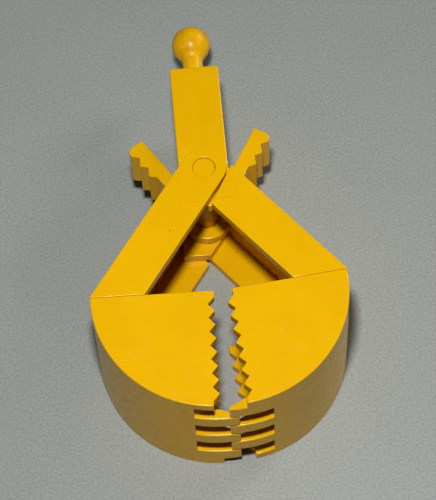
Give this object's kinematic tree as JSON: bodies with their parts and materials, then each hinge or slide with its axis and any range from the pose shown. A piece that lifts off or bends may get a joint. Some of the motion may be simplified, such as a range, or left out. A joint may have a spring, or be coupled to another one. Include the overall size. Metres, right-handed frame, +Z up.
{
  "type": "toy clamshell grab",
  "caption": "Moulded plastic clamshell grab with toothed jaws on one pivot pin, serrated finger tabs, a flat stem and a ball stud to hang it from.",
  "frame": {"origin": "under the middle of the whole grab as it lies flat with its jaws slightly open", "axes": "+Z up through the thickness, +Y from the buckets towards the ball stud, +X to the right seen from above"},
  "size_m": [0.0498, 0.092, 0.0284],
  "materials": {
    "moulded_yellow": "satin injection-moulded, warm traffic yellow",
    "ball_yellow": "polished by its socket, slightly browned and scuffed"
  },
  "bodies": {
    "stem": {"stem_block": "moulded_yellow", "ball_stud": "ball_yellow", "pivot_pin": "moulded_yellow"},
    "left_jaw": {"left_arm_yoke": "moulded_yellow", "left_bucket_shell": "moulded_yellow"},
    "right_jaw": {"right_arm_yoke": "moulded_yellow", "right_bucket_shell": "moulded_yellow"}
  },
  "joints": [
    {"name": "left_jaw_hinge", "type": "hinge", "parent": "stem", "child": "left_jaw", "pos_m": [-0.00074, 0.00507, 0.0142], "axis": [0, 0, 1], "range_deg": [-28.3, 1.7]},
    {"name": "right_jaw_hinge", "type": "hinge", "parent": "stem", "child": "right_jaw", "pos_m": [-0.00074, 0.00507, 0.0142], "axis": [0, 0, 1], "range_deg": [-4.9, 25.1]}
  ]
}
